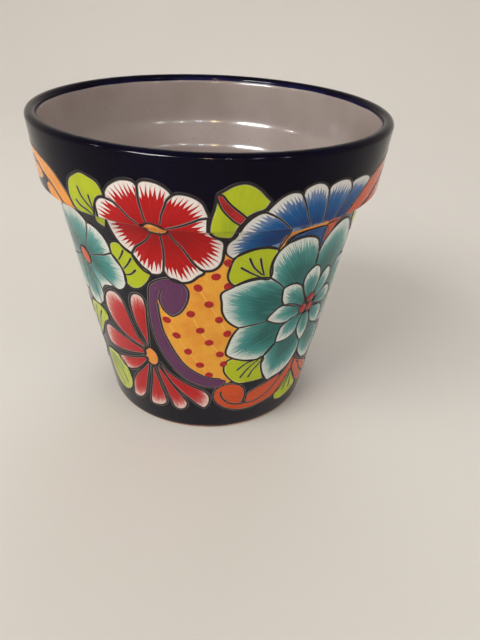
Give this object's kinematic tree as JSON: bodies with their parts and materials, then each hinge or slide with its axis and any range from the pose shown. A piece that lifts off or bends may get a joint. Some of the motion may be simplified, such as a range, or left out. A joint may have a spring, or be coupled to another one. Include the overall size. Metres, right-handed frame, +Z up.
{
  "type": "ceramic planter",
  "caption": "Flared round planter with a thick band collar, open top, drain hole and flat foot; glazed, with a painted band of flowers and leaves.",
  "frame": {"origin": "centre of the foot, on the surface that the pot stands on", "axes": "+Z up along the pot's axis, out of its mouth; -Y is the side that faces the reader in the picture; +X is to the right"},
  "size_m": [0.3, 0.3, 0.27],
  "materials": {
    "clay": "matte",
    "cobalt_wall": "polished",
    "cobalt_rim": "polished",
    "lining": "polished",
    "outline_pigment": "satin",
    "red_enamel": "gloss",
    "teal_enamel": "gloss",
    "blue_enamel": "gloss",
    "lime_enamel": "gloss",
    "amber_enamel": "gloss",
    "orange_enamel": "gloss",
    "purple_enamel": "gloss"
  },
  "bodies": {
    "root": {"clay_body": "clay", "wall_glaze": "cobalt_wall", "rim_glaze": "cobalt_rim", "inside_glaze": "lining"}
  },
  "joints": []
}
